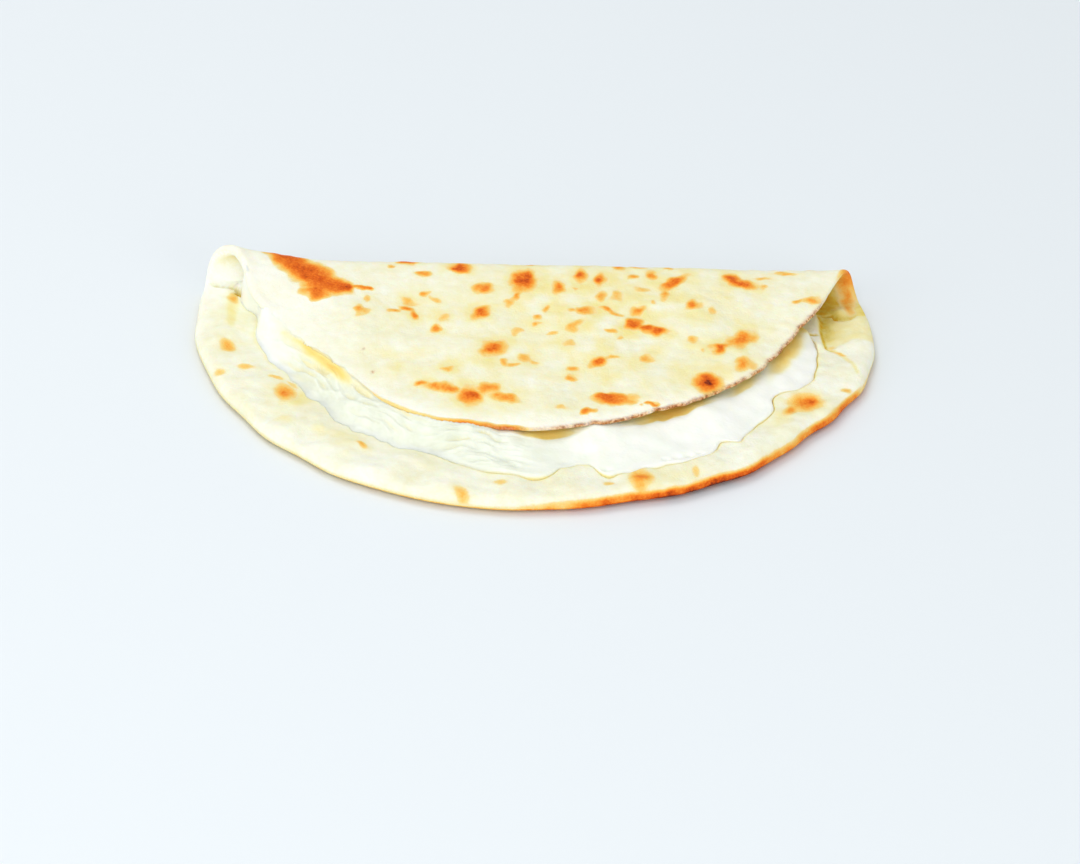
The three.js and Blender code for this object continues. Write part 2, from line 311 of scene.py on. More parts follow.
def cut_edge(u, v):
    """1 along the upper leaf's edge, where it looks cut, 0 on the round edges."""
    angle = degrees_of(u, v)
    return step_up(angle, 8, 25) * (1.0 - step_up(angle, 115, 30))


def edge_round(u, v):
    loop = near_angle(degrees_of(u, v), 170, 24)
    return EDGE_ROUND - 1.5 * cut_edge(u, v) - 1.1 * loop


def half_leaf(u, v):
    """Half the sheet's own thickness: less on the upper leaf, least along its edge."""
    thin = UPPER_LEAF_THIN * step_up(v, FOLD_START, FOLD_ARC)
    thin = thin + 0.5 * cut_edge(u, v) * bell(from_outline(u, v) / 5.0)
    return (HALF_LEAF - thin) * quarter_round(from_outline(u, v) / edge_round(u, v)) + loop_bead(u, v)


def pillow_shape(u, v, wide):
    """1 in the middle of the raised dough that fills the left loop."""
    return hump(u, -106, 14) * hump(v, 16, wide)


def inner_thickness(u, v):
    behind = smooth(-before_margin_end(u, v) / (margin_end_width(u) + 0.7))
    pillow = 4.9 * pillow_shape(u, v, 9.5) * behind
    bump = 1.8 * hump(u, 111.5, 3.5) * hump(v, 4.5, 3)
    raised = (pillow + bump) * quarter_round(from_outline(u, v) / 5.0)
    return half_leaf(u, v) + margin_puff(u, v) + raised - crease_depth(u, v)


def outer_thickness(u, v):
    depth = from_outline(u, v)
    grain = 0.05 * ripples(u, v, 3.0, 43) + 0.3 * smooth(toasted_outside(u, v))
    return half_leaf(u, v) + grain * step_up(v, FOLD_START, 10) * smooth(depth / 3.0)


def bread_points(u, v, side):
    """Places on the bread: side is 1 towards the labneh, -1 outside and 0 on the rim."""
    out = from_groove(u, v)
    radius = np.maximum(np.hypot(u, v), 1.0)
    on_lip = (side > 0) * (v < FOLD_START) * (before_margin_end(u, v) > 0.0)
    lean = LIP_OVERHANG * bell(out - 1.3) * groove_sharpness(degrees_of(u, v)) * on_lip
    place = folded_middle(u - lean * u / radius, v - lean * v / radius)
    thick = np.where(side > 0, inner_thickness(u, v), -outer_thickness(u, v)) * (side != 0)
    return place + inward_normal(u, v) * thick[..., None]


# ---- Meshing the sheet ----
class Sheet:
    """Vertices over the flat round, on either side of the sheet, and the faces between them."""

    def __init__(self):
        self.u, self.v, self.side, self.faces, self.face_side, self.count = [], [], [], [], [], 0

    def add(self, u, v, side):
        u, v = np.broadcast_arrays(np.asarray(u, float), np.asarray(v, float))
        self.u.append(u.ravel())
        self.v.append(v.ravel())
        self.side.append(np.full(u.size, float(side)))
        self.count += u.size
        return np.arange(self.count - u.size, self.count)

    def face(self, side, *corners):
        self.faces.append(tuple(int(c) for c in (corners if side > 0 else corners[::-1])))
        self.face_side.append(side)

    def join(self, inner, outer, side):
        """Faces between two rings. The outer ring has as many sectors as the inner one, or twice."""
        step = (len(outer) - 1) // (len(inner) - 1)
        for j in range(len(inner) - 1):
            a, b = inner[j], inner[j + 1]
            if step == 1:
                self.face(side, a, outer[j], outer[j + 1], b)
            else:
                p, q, r = outer[2 * j : 2 * j + 3]
                self.face(side, a, p, q)
                self.face(side, a, q, b)
                self.face(side, b, q, r)

    def arrays(self):
        return np.concatenate(self.u), np.concatenate(self.v), np.concatenate(self.side)


GROOVE_BAND = 3.2
EDGE_BAND = 5.0
LEAST_MARGIN = 11.0
BEND_ROWS = 20
INNER_LEAF = (0.03, 45)  # the nearest ring's share of the way out, and how many rings
OUTER_LEAF = (0.012, 128)
GROOVE_STEPS = (-1.2, -0.5, 0.0, 0.25, 0.6, 1.0, 1.5, 2.1, 2.8)
EDGE_RINGS = [("edge", depth) for depth in (4.2, 3.4, 2.7, 2.0, 1.4, 0.9, 0.5, 0.2)]
# Sectors in half a round, from a first ring on: the faces stay about as wide towards the rim.
RIM_SECTORS = 480
INNER_LOWER_SECTORS = [(0, 60), (4, 120), (9, 240), (14, 480)]
INNER_UPPER_SECTORS = [(0, 60), (16, 120), (32, 240), (45, 480)]
OUTER_LOWER_SECTORS = [(0, 30), (27, 60), (66, 120), (128, 240), (132, 480)]
OUTER_UPPER_SECTORS = [(0, 60), (19, 120), (40, 240), (81, 480)]


def ring_distance(kind, amount, edge, bed):
    """How far a ring lies from its hub, where the groove is bed away and the rim is edge away."""
    if kind == "bed":
        return amount * bed
    if kind == "groove":
        return bed + amount
    if kind == "margin":
        return mix(bed + GROOVE_BAND, edge - EDGE_BAND, amount)
    if kind == "leaf":
        return amount * (edge - EDGE_BAND)
    return edge - amount


def with_sectors(rings, counts):
    """Gives each ring its number of sectors. Each count holds from its own first ring on."""
    return [(*ring, [n for first, n in counts if i >= first][-1]) for i, ring in enumerate(rings)]


def margin_rings():
    bed = [("bed", share) for share in np.linspace(0.12, 0.97, 14)]
    groove = [("groove", step) for step in GROOVE_STEPS]
    margin = [("margin", share) for share in np.linspace(0.0, 1.0, 22)]
    return with_sectors(bed + groove + margin + EDGE_RINGS, INNER_LOWER_SECTORS)


def leaf_rings(nearest, count, sectors):
    leaf = [("leaf", share) for share in np.linspace(nearest, 1.0, count)]
    return with_sectors(leaf + EDGE_RINGS, sectors)


def rim_line(sheet, hub_v, start):
    angle = start + np.pi * np.arange(RIM_SECTORS + 1) / RIM_SECTORS
    edge = reach(hub_v, angle, from_outline)
    return sheet.add(edge * np.cos(angle), hub_v + edge * np.sin(angle), 0)


def fan(sheet, hub_v, start, rings, side, rim):
    """Half a round of rings, out from the hub to the rim. Returns its straight line, left to right."""
    hub = sheet.add(0.0, hub_v, side)[0]
    before = None
    starts, ends = [], []
    for kind, amount, sectors in rings:
        angle = start + np.pi * np.arange(sectors + 1) / sectors
        edge = reach(hub_v, angle, from_outline)
        bed = reach(hub_v, angle, lambda u, v: -from_groove(u, v))
        bed = np.minimum(bed, edge - LEAST_MARGIN)
        r = ring_distance(kind, amount, edge, bed)
        here = sheet.add(r * np.cos(angle), hub_v + r * np.sin(angle), side)
        if before is None:
            for j in range(sectors):
                sheet.face(side, hub, here[j], here[j + 1])
        else:
            sheet.join(before, here, side)
        starts.append(here[0])
        ends.append(here[-1])
        before = here
    sheet.join(before, rim, side)
    starts.append(rim[0])
    ends.append(rim[-1])
    left, right = (starts, ends) if start < 0 else (ends, starts)
    return [*left[::-1], hub, *right]


def bend_ends(sheet):
    """The bend's rows, how far each one reaches to the left and right, and its places on the rim."""
    rows = np.linspace(FOLD_START, FOLD_END, BEND_ROWS + 1)
    half = {}
    for way, direction in ((-1, np.pi), (1, 0.0)):
        half[way] = np.array([reach(v, np.array([direction]), from_outline)[0] for v in rows])
    ends = {way: sheet.add(way * half[way][1:-1], rows[1:-1], 0) for way in (-1, 1)}
    return rows, half, ends


def add_bend(sheet, first, last, side, bend):
    """One side of the bend: rows of faces between the straight lines of the two fans."""
    rows, half, ends = bend
    flat_u, _, _ = sheet.arrays()
    before = first
    for k in range(1, BEND_ROWS + 1):
        row = last
        if k < BEND_ROWS:
            row = [ends[-1][k - 1]]
            for i in range(1, len(first) - 1):
                way = 1 if i > len(first) // 2 else -1
                low = flat_u[first[i]] / half[way][0]
                high = flat_u[last[i]] / half[way][-1]
                across = mix(low, high, k / BEND_ROWS) * half[way][k]
                row.append(sheet.add(across, rows[k], side)[0])
            row.append(ends[1][k - 1])
        for i in range(len(first) - 1):
            sheet.face(side, before[i], before[i + 1], row[i + 1], row[i])
        before = row


def bread_sheet():
    sheet = Sheet()
    lower_rim = rim_line(sheet, FOLD_START, -np.pi)
    upper_rim = rim_line(sheet, FOLD_END, 0.0)
    bend = bend_ends(sheet)
    inner = (margin_rings(), leaf_rings(*INNER_LEAF, INNER_UPPER_SECTORS))
    outer = [leaf_rings(*OUTER_LEAF, counts) for counts in (OUTER_LOWER_SECTORS, OUTER_UPPER_SECTORS)]
    for side, (lower, upper) in ((1, inner), (-1, outer)):
        first = fan(sheet, FOLD_START, -np.pi, lower, side, lower_rim)
        last = fan(sheet, FOLD_END, 0.0, upper, side, upper_rim)
        add_bend(sheet, first, last, side, bend)
    return sheet


# ---- Toasting and colour fields, with painted light and shade ----
# Toasted spots on the upper leaf's outside: (u, v, half length, half width, turn, depth of colour).
LEFT_PATCH = [
    (-93, 29.5, 6, 4.2, -10, 0.74), (-88, 35, 8, 6, -45, 0.77), (-81, 41, 9, 7, -40, 0.78),
    (-74, 46.5, 8, 5.5, -20, 0.7), (-79, 51, 5, 4.5, 0, 0.68), (-69, 48, 3.5, 3, -20, 0.84),
    (-65, 47, 3, 1, 0, 0.45), (-61.5, 47.5, 3, 1.6, -10, 0.68),
]
FRONT_PATCH = [
    (25.9, 110.9, 7, 4, 0, 0.61), (22.4, 109.4, 4, 2.4, -10, 0.72), (16.2, 118.7, 3, 1.6, 35, 0.64),
]
RIDGE_SPOTS = [
    (-47, 30, 3.5, 1.8, -10, 0.8), (-52, 34, 2, 1, -10, 0.45), (-41, 38, 2.5, 1.3, 0, 0.5),
    (-27.5, 34, 3.6, 2.8, -10, 0.88), (-2, 29, 2, 1, 0, 0.6), (16, 37, 4, 2, 80, 0.72),
    (23, 40, 4, 2, 80, 0.76), (30, 31, 2, 1.4, -20, 0.5), (37, 30, 4, 1.2, -25, 0.5),
    (42, 36, 3, 1.6, 85, 0.55), (35, 37, 1.5, 1.2, 60, 0.45), (48, 31, 2, 1.2, 0, 0.45),
    (50, 40, 6, 2.2, 45, 0.72), (46, 48, 4, 1.6, 85, 0.45), (71, 37, 3.5, 2.6, -80, 0.85),
    (74, 40, 5, 2.6, -20, 0.8), (82, 36, 3.5, 1.3, 0, 0.3), (82, 42, 2, 1.4, 0, 0.33),
    (91, 33, 4, 1, 0, 0.42),
]
LEFT_SPOTS = [
    (-61, 55, 2, 1.5, 90, 0.3), (-63, 62, 2.8, 2.2, 90, 0.52), (-51, 61, 2, 1.4, 40, 0.45),
    (-47, 59, 3, 1.3, -35, 0.55), (-44, 63, 2.3, 1.4, -70, 0.62), (-46, 55, 3, 2, -40, 0.33),
    (-40, 50, 2, 1.6, 85, 0.5), (-36, 53, 2.6, 1.4, -40, 0.33), (-36, 70, 2.2, 1.7, 90, 0.58),
    (-33, 64, 2.8, 2.2, 90, 0.3), (-32, 95, 2, 1.4, 0, 0.33), (-19, 47, 3.6, 3.2, 0, 0.6),
    (-20, 61, 3.8, 2.8, 70, 0.82), (-16, 82, 5, 3.2, 45, 0.76), (-12, 90, 2.4, 1.5, -80, 0.42),
    (-9, 91, 2, 1.2, 0, 0.35), (-5, 87, 2.6, 2.2, 60, 0.42), (-2, 89, 2, 1.2, -50, 0.3),
]
MIDDLE_SPOTS = [
    (-4.5, 41, 6, 4.2, 80, 0.95), (-7, 51, 4, 1.3, 60, 0.45), (-10, 55, 2, 1.2, 10, 0.4),
    (8, 45, 3.6, 2.2, 85, 0.65), (23, 50, 3, 2, 85, 0.42), (29, 50, 3.6, 2, 90, 0.35),
    (14, 46, 1.5, 1, 10, 0.25), (17, 59, 3.4, 2.6, 20, 0.5), (12, 59, 2, 1.2, 0, 0.3),
    (25, 58, 3, 1.4, -20, 0.5), (28, 60, 3, 1.8, -35, 0.38), (36, 58, 3, 2, 45, 0.5),
    (34, 66, 3.4, 2.5, 60, 0.85), (39, 68, 3.4, 2, 0, 0.85), (43, 69.5, 3, 2, -35, 0.82),
    (38, 45, 3, 2.2, 10, 0.28), (42, 53, 1.4, 1, 80, 0.3), (56, 55, 3, 2.4, 40, 0.68),
    (63, 58, 2.6, 1.8, -80, 0.28), (3, 58, 2, 1.3, 85, 0.42), (0, 63, 1.6, 1.2, 50, 0.42),
    (0, 67, 1.8, 1.4, 10, 0.4), (-7, 71, 2.6, 1.4, 20, 0.3), (5, 72, 2, 1.2, 0, 0.33),
    (13, 68, 3.6, 2, 45, 0.38), (26, 71, 2, 1.2, 0, 0.4), (29, 74, 1.4, 1.1, 70, 0.3),
    (11, 78, 2.6, 1.5, 0, 0.25),
]
FRONT_SPOTS = [
    (-41, 102.5, 2.5, 1.2, 0, 0.5), (-36, 105, 4, 2.4, -10, 0.56), (-31, 106.5, 4, 2.4, -15, 0.55),
    (-24, 110, 4.5, 3.8, 80, 0.8), (-18, 105.5, 3.8, 2.8, 0, 0.56), (-12, 110.5, 5, 2.2, -25, 0.56),
    (12, 93, 2, 1.5, 0, 0.42), (11, 98, 2, 1.6, 80, 0.4), (21, 89, 3.4, 2.2, 40, 0.78),
    (26, 86, 3, 1.4, 15, 0.36), (38, 86, 2.8, 2.2, 50, 0.4), (7, 117, 3, 1.4, 0, 0.25),
    (38.5, 114, 1.4, 0.8, 20, 0.62), (35.5, 115.4, 1, 0.6, 0, 0.5),
]
RIGHT_SPOTS = [
    (55, 75, 2.2, 1.8, 20, 0.36), (58, 82, 1.4, 1, 70, 0.25), (64.5, 80, 3.4, 2.6, 50, 0.8),
    (72, 74, 6.5, 3.4, 45, 0.6), (72, 89, 4, 3.2, 75, 0.5), (59, 100.5, 5.2, 4.6, 80, 0.85),
    (59, 100.5, 2.4, 2, 80, 1.04), (94, 50, 2, 1.4, 40, 0.42), (99, 49, 3.4, 2, 20, 0.45),
]
# And on the lower leaf's inside, which shows along the margin and in the fold's right end.
MARGIN_SPOTS = [
    (-110, -29, 3.2, 2.6, 85, 0.42), (-112, -46, 2.4, 1.9, 85, 0.28), (-103, -42, 3, 1.4, 0, 0.3),
    (-88.5, -57.5, 5, 3.4, 88, 0.55), (-92, -48, 2.8, 1, 10, 0.3), (-86, -51, 3.5, 1, 50, 0.2),
    (-61, -89, 2.4, 1.3, 60, 0.42), (-14, -110, 2.6, 2.1, 0, 0.22), (-27, -117, 3.6, 2.2, 65, 0.32),
    (23, -109, 2, 1.7, -25, 0.25), (34, -107, 4, 3.8, 90, 0.55), (33.5, -110.5, 3.2, 2.2, 90, 0.36),
    (53, -102, 3.3, 1.4, 90, 0.25), (94, -57.5, 5.4, 4.6, -10, 0.62), (96, -56, 3, 2.7, 20, 0.78),
    (88, -63, 3.8, 2, -60, 0.5), (109, -48.5, 1.6, 1.3, 0, 0.38), (-109.6, 3.2, 1.9, 3, 0, 0.38),
    (108.5, -24.8, 2.4, 0.6, 25, 0.32), (106, -20.5, 2, 1.6, 0, 0.16),
]
WALL_SPOTS = [
    (111.5, 30, 4.5, 3.4, 90, 0.5), (113.2, 23, 6, 3, 82, 0.5), (114.4, 15, 6, 2.6, 85, 0.48),
    (114.5, 8, 5, 2.2, 88, 0.42),
]
# Two dark specks on the upper leaf, and broad yellow staining: (u, v, reach, strength).
SPECKS = [(-61.5, 83, 0.45, 0.8), (-58, 95.5, 0.65, 0.8)]
WARM_PLACES = [
    (15, 52, 30, 0.22), (40, 45, 24, 0.2), (-45, 58, 14, 0.25), (-31, 66, 9, 0.2), (-54, 90, 9, 0.3),
    (-35, 96, 14, 0.2), (-20, 106, 20, 0.2), (70, 55, 22, 0.2), (10, 75, 30, 0.2), (60, 92, 20, 0.2),
    (30, 100, 14, 0.2),
]
# Soft olive patches of painted shade on the lower leaf's margin: (u, v, reach, strength).
MARGIN_SHADE_PATCHES = [
    (-68, -84, 8, 0.22), (-84, -62, 6, 0.2), (-80.5, -58, 4, 0.2), (-88, -75, 3.5, 0.28),
    (-76, -80, 3, 0.16), (-108, -12, 9, 0.16), (45, -104, 8, 0.16), (84, -70, 7, 0.16),
]
# Browning along the lower leaf's rim and the upper leaf's edge, with a streak of painted shadow:
# (angle, width, strength).
RIM_BROWNING = [(-59, 13, 1.06), (-31, 13, 0.72), (-79, 13, 0.58), (-105, 20, 0.16)]
RIM_BROWNING_LEAST = 0.16
# At 95 degrees a short dark streak, partly a torn bit of the edge and partly painted shadow under it.
LEAF_BROWNING_AND_SHADOW = [(101, 4.5, 0.4), (95, 1.8, 0.66), (13, 4, 0.6), (7, 4, 0.12)]


def round_patch_field(u, v, places):
    """The sum of soft round patches: (u, v, reach, strength)."""
    return sum(by * bell(np.hypot(u - at_u, v - at_v) / wide) for at_u, at_v, wide, by in places)


def spot_field(u, v, spots, spread=1.0, steepness=2.5, ragged=1.0):
    """How deeply coloured each place is by the toasted spots."""
    bent_u = u + ragged * (0.45 * ripples(u, v, 4.0, 52) + 0.14 * ripples(u, v, 1.7, 53))
    bent_v = v + ragged * (0.45 * ripples(u, v, 4.0, 54) + 0.14 * ripples(u, v, 1.7, 55))
    total = np.zeros(np.shape(u))
    for at_u, at_v, long, wide, turn, depth in spots:
        c, s = math.cos(math.radians(turn)), math.sin(math.radians(turn))
        du, dv = bent_u - at_u, bent_v - at_v
        q = np.hypot((c * du - s * dv) / (long * spread), (s * du + c * dv) / (wide * spread))
        total += (depth * np.exp(-(q**steepness))) ** 5
    return total**0.2


def random_spots(seed, count, low_v, high_v, sizes, depths):
    draw = np.random.default_rng(seed)
    spots = []
    while len(spots) < count:
        u, v = draw.uniform(-115, 115), draw.uniform(low_v, high_v)
        if math.hypot(u, v) < 112:
            long = draw.uniform(*sizes)
            wide = long * draw.uniform(0.4, 0.9)
            spots.append((u, v, long, wide, draw.uniform(-90, 90), draw.uniform(*depths)))
    return spots


UPPER_SPOTS = RIDGE_SPOTS + LEFT_SPOTS + MIDDLE_SPOTS + FRONT_SPOTS + RIGHT_SPOTS
BACK_SPOTS = random_spots(61, 16, 11, 25, (1.5, 4.0), (0.35, 0.85))
UNDERSIDE_SPOTS = random_spots(62, 46, -110, 12, (2.0, 8.0), (0.35, 0.9))
UNDERSIDE_SPOTS += random_spots(63, 90, -115, 12, (0.8, 2.2), (0.2, 0.5))


def toasted_outside(u, v):
    patch = spot_field(u, v, LEFT_PATCH + FRONT_PATCH, steepness=4.0)
    return np.maximum(patch, spot_field(u, v, UPPER_SPOTS))


def rim_browning_and_shadow(u, v, side):
    """The rim is brown low down, and along the upper leaf's cut edge, with a dark streak of painted
    shadow under a torn bit.
    """
    angle = degrees_of(u, v)
    depth = from_outline(u, v)
    brown = bumps_at(RIM_BROWNING, angle) + RIM_BROWNING_LEAST
    most = step_up(brown, 0.35, 0.5)
    blush = most * (0.52 * bell(depth / 0.6) + 0.1 * bell(depth / 2.0)) + 0.1 * bell(depth / 0.5)
    brown = brown * np.clip(1.0 + 0.15 * ripples(2.0 * angle, 3.0 * depth, 4.0, 58), 0.6, 1.25)
    front = brown * np.where(side < 0, bell(depth / 5.0), np.where(side > 0, blush, 0.3 + 0.48 * most))
    leaf = 0.17 * step_up(angle, 84, 14) * (1.0 - step_up(angle, 120, 10))
    # This brings in the painted shadow under a torn bit near 95 degrees.
    leaf = leaf + bumps_at(LEAF_BROWNING_AND_SHADOW, angle)
    leaf = leaf * bell(depth / np.where(side < 0, 1.3, 3.0))
    return np.where(v < FOLD_START, front, leaf)


# Besides browning, this carries the streak of painted shadow along the upper leaf's edge.
def toast_and_shadow(u, v, side):
    depth = from_outline(u, v)
    under = spot_field(u, v, UNDERSIDE_SPOTS + BACK_SPOTS)
    resting = smooth((9.0 + 2.5 * ripples(u, 2.0 * v, 9.0, 60) - v) / 11.0)
    resting = resting * step_up(depth, 1, 8)
    under = np.maximum(under, resting * (0.3 + 0.1 * ripples(u, v, 9.0, 51)))
    inside = spot_field(u, v, MARGIN_SPOTS, steepness=2.2, ragged=0.4)
    inside = np.maximum(inside, spot_field(u, v, WALL_SPOTS, steepness=2.0))
    outside = np.maximum(toasted_outside(u, v), spot_field(u, v, BACK_SPOTS))
    field = np.where(side > 0, inside, np.where(v > FOLD_START, outside, under))
    return np.maximum(field, rim_browning_and_shadow(u, v, side))


def warm_outside(u, v):
    """The yellow stain on the upper leaf: a halo round each spot, and broad patches between them."""
    halo = 0.4 * spot_field(u, v, UPPER_SPOTS, spread=1.8, steepness=2.0)
    patches = spot_field(u, v, LEFT_PATCH + FRONT_PATCH, spread=1.2, steepness=3.0)
    halo = np.maximum(halo, 0.3 * patches)
    uneven = np.clip(0.8 + 0.4 * ripples(u, v, 7.0, 56), 0.0, 1.6)
    broad = 0.5 * round_patch_field(u, v, WARM_PLACES) * uneven
    return halo + broad + 0.05 * step_up(u, -95, 50)


def crust_and_shadow(u, v, side):
    """The dry, pinkish brown face of the upper leaf's cut edge, darker near 96 degrees, partly painted
    shadow under a torn bit.
    """
    angle = degrees_of(u, v)
    depth = from_outline(u, v)
    along = 1.0 - 0.55 * step_up(angle, 86, 4) - 0.45 * step_up(angle, 93, 5)
    patchy = np.clip(0.95 + 0.25 * ripples(3.0 * angle, 0.0, 4.0, 57), 0.3, 1.0)
    along = along * step_up(angle, 22, 8) * patchy
    # Near 96 degrees, partly a torn bit and partly painted shadow under it.
    along = np.maximum(along, 0.6 * hump(angle, 96, 3))
    edge = along * bell(depth / np.where(side < 0, 1.0, 2.0)) * (v > FOLD_END)
    return np.maximum(edge, round_patch_field(u, v, SPECKS) * (side < 0))


def groove_shade(u, v):
    """Painted shade in the groove: a thin line in a faint wider band, but only a blush where it is
    smeared over.
    """
    out = from_groove(u, v)
    angle = degrees_of(u, v)
    blush = mix(0.1, 0.2, near_angle(angle, -168, 16)) * hump(out, 0.3, 1.3)
    line = (1.1 + 0.14 * ripples(u, v, 6.0, 59)) * hump(out, 0.2, 0.55)
    line = line + 0.22 * hump(out, 0.9, 0.9)
    return mix(blush, line, groove_sharpness(angle)) * (v < 0)


def fold_shade_and_tone(u, v):
    """Inside the fold: golden at the right, partly own tone, partly painted shade, with a paler lump;
    yellow painted shade in the left loop.
    """
    # Golden on the right: partly the dough's own tone, partly painted shade under the upper leaf; paler
    # on a raised lump.
    wall = 0.66 + 0.36 * hump(u, 104, 7)
    wall = wall - 0.45 * hump(u, 111.5, 3) * hump(v, 5, 3.5)
    wall = wall * (1.0 - 0.5 * step_up(v, 38, 8))
    # Yellow painted shade in the roof of the left loop.
    loop = 0.5 * hump(v, 29.5, 6.5)
    return np.where(u > 0, wall, loop) * smooth(-before_margin_end(u, v) / 1.5)


def inside_shade_and_warmth(u, v):
    """Yellow to olive painted shade in creases, groove, fold hollows, flap, a valley and margin
    patches; real halos round spots.
    """
    # Painted shade on the flap past the pleat, which lies in the fold's shadow, deepest along the
    # pleat.
    flap = past_pleat(u, v) * (0.26 + 0.5 * hump(u, 104.5, 4) * step_up(v, -20, 8))
    # Painted shade in a soft valley of the margin at the fold's left end.
    valley = 0.35 * hump(u, -109.5, 2.5) * step_up(v, -24, 12)
    valley = valley * smooth(before_margin_end(u, v) / 2.0)
    # Real halos round the spots, and soft patches of painted shade on the margin.
    halo = 0.5 * spot_field(u, v, MARGIN_SPOTS, spread=1.8, steepness=2.0)
    halo = halo + round_patch_field(u, v, MARGIN_SHADE_PATCHES)
    # Painted shade in the creases.
    creases = np.clip(1.2 * crease_depth(u, v), 0.0, 1.5)
    return np.maximum.reduce([creases, groove_shade(u, v), fold_shade_and_tone(u, v), flap, valley, halo])


# Yellowish tone on the upper leaf's outside and the underside; inside, mostly painted shade, with real
# halos round spots.
def warmth_and_shade(u, v, side):
    outside = np.where(v > FOLD_START, warm_outside(u, v), 0.3)
    bend_rim = 0.75 * hump(degrees_of(u, v), 7, 5) * bell(from_outline(u, v) / 2.0)
    return np.where(side > 0, inside_shade_and_warmth(u, v), np.maximum(outside, bend_rim))


def flour_and_light(u, v, side):
    """Whiter dough: real floury dust along the upper leaf's edge, and painted light round the left loop
    and its pillow, and on a lip.
    """
    angle = degrees_of(u, v)
    depth = from_outline(u, v)
    front = step_up(angle, 45, 15) * (1.0 - step_up(angle, 118, 14))
    dusty = 0.75 * front * bell(depth / 5.0)
    # Painted light: the upper leaf is whiter towards the left loop.
    left = 0.5 * step_up(-u, 58, 30)
    outside = np.where(v > FOLD_START, np.maximum(dusty, left), 0.0)
    # Painted light on the pillow, which lies in the loop's shade.
    pillow = np.minimum(1.0, 1.4 * pillow_shape(u, v, 10.0))
    # Painted highlight along the lip at the margin's right end.
    lip = 0.7 * hump(u, 100.5, 2) * step_up(v, -30, 8) * step_up(-v, 5, 8)
    # Painted highlight on the loop's rim bead.
    bead = near_angle(angle, LOOP_RIM_ANGLE, 20) * bell(depth / 3.0)
    inside = np.maximum.reduce([pillow, lip, bead]) * (1.0 - smooth(crease_depth(u, v) / 0.5))
    return np.where(side > 0, inside, outside) * (1.0 - smooth(toast_and_shadow(u, v, side) / 0.3))


# ---- Meshes ----
BREAD_MAP_CENTRES = ((0.25, 0.5), (0.75, 0.5))
BREAD_MAP_SIZE = (530.0, 270.0)
LABNEH_MAP_CENTRES = ((0.5, 0.74), (0.5, 0.24))
LABNEH_MAP_SIZE = (212.0, 242.0)


def add_object(name, data):
    made = bpy.data.objects.new(name, data)
    bpy.context.scene.collection.objects.link(made)
    return made


def new_mesh(name, points_mm, faces):
    mesh = bpy.data.meshes.new(name)
    mesh.from_pydata((np.asarray(points_mm) * MM).tolist(), [], faces)
    mesh.update()
    mesh.shade_smooth()
    return add_object(name, mesh)


def add_field(piece, name, values):
    layer = piece.data.attributes.new(name, "FLOAT", "POINT")
    layer.data.foreach_set("value", np.asarray(values, dtype=np.float32))


def add_map(piece, across, up, face_side, centres, size):
    """A flat map of the piece: the faces of each side lie round their own centre in the map."""
    width, height = size
    layer = piece.data.uv_layers.new(name="OFBake")
    corner = np.empty(len(piece.data.loops), dtype=np.int32)
    piece.data.loops.foreach_get("vertex_index", corner)
    corners = np.empty(len(piece.data.polygons), dtype=np.int32)
    piece.data.polygons.foreach_get("loop_total", corners)
    first = np.repeat(np.asarray(face_side) > 0, corners)
    centre = np.where(first[:, None], np.array(centres[0]), np.array(centres[1]))
    place = centre + np.stack([across[corner] / width, up[corner] / height], axis=-1)
    layer.data.foreach_set("uv", place.astype(np.float32).ravel())


def make_bread():
    sheet = bread_sheet()
    u, v, side = sheet.arrays()
    piece = new_mesh("bread_sheet", bread_points(u, v, side), sheet.faces)
    for name, field in (("toast_and_shadow", toast_and_shadow), ("warmth_and_shade", warmth_and_shade), ("flour_and_light", flour_and_light), ("crust_and_shadow", crust_and_shadow)):
        add_field(piece, name, field(u, v, side))
    add_map(piece, u, v, sheet.face_side, BREAD_MAP_CENTRES, BREAD_MAP_SIZE)
    return piece


# ---- Labneh ----
LABNEH_HUB_Y = 7.7
LABNEH_BACK = 57.7
BED = 2.0 * HALF_LEAF
LABNEH_SECTORS = 640
LABNEH_FRONT = 5.9
LABNEH_GAP = 0.05
# Depths in from the labneh's edge, of the rings of its upper side and its lower side.
LABNEH_LIP = (2.2, 1.8, 1.45, 1.15, 0.9, 0.65, 0.45, 0.3, 0.17, 0.08, 0.02, 0.0)
LABNEH_BAND = [*np.arange(34.0, 2.4, -0.55), *LABNEH_LIP]
LABNEH_UNDER = (0.0, 0.6, 1.5, 3.0, 5.0, 8.0, 12.0)
LABNEH_DENTS = [
    (47, -43, 2.2), (51, -41.5, 1.8), (55, -40, 1.3), (43, -44.5, 1.2), (-12, -47, 1.4), (-9, -50, 1.1),
    (22, -51, 1.6),
]


def under_leaf(x, y):
    """How far in from the upper leaf's edge a place is, seen from above: negative outside it."""
    return from_outline(x, FOLD_END + ROUND_CENTRE_Y + FOLD_START - y)


def inside_groove(x, y):
    """How far in from the groove a place is, seen from above: 0 outside it."""
    return np.maximum(-from_groove(x, y - ROUND_CENTRE_Y), 0.0)


def sharpness_at(x, y):
    return groove_sharpness(degrees_of(x, y - ROUND_CENTRE_Y))


def dough_top(x, y):
    """Height of the lower leaf's upper side."""
    v = y - ROUND_CENTRE_Y
    return folded_middle(x, v)[..., 2] + inner_thickness(x, v)


def labneh_inside(x, y):
    angle = degrees_of(x, y - ROUND_CENTRE_Y)
    tuck = groove_sharpness(angle) * (0.08 - 0.12 * step_up(-angle, 20, 25))
    to_front = tuck - from_groove(x, y - ROUND_CENTRE_Y)
    back = LABNEH_BACK - 6.0 * step_up(x, 66, 38) + 6.0 * step_up(-x, 66, 30)
    return np.minimum(to_front, back - y)


def smeared(x):
    """1 at the left, where the labneh is smeared up against the upper leaf, 0 at the smooth right."""
    return step_up(-x, -2, 26)


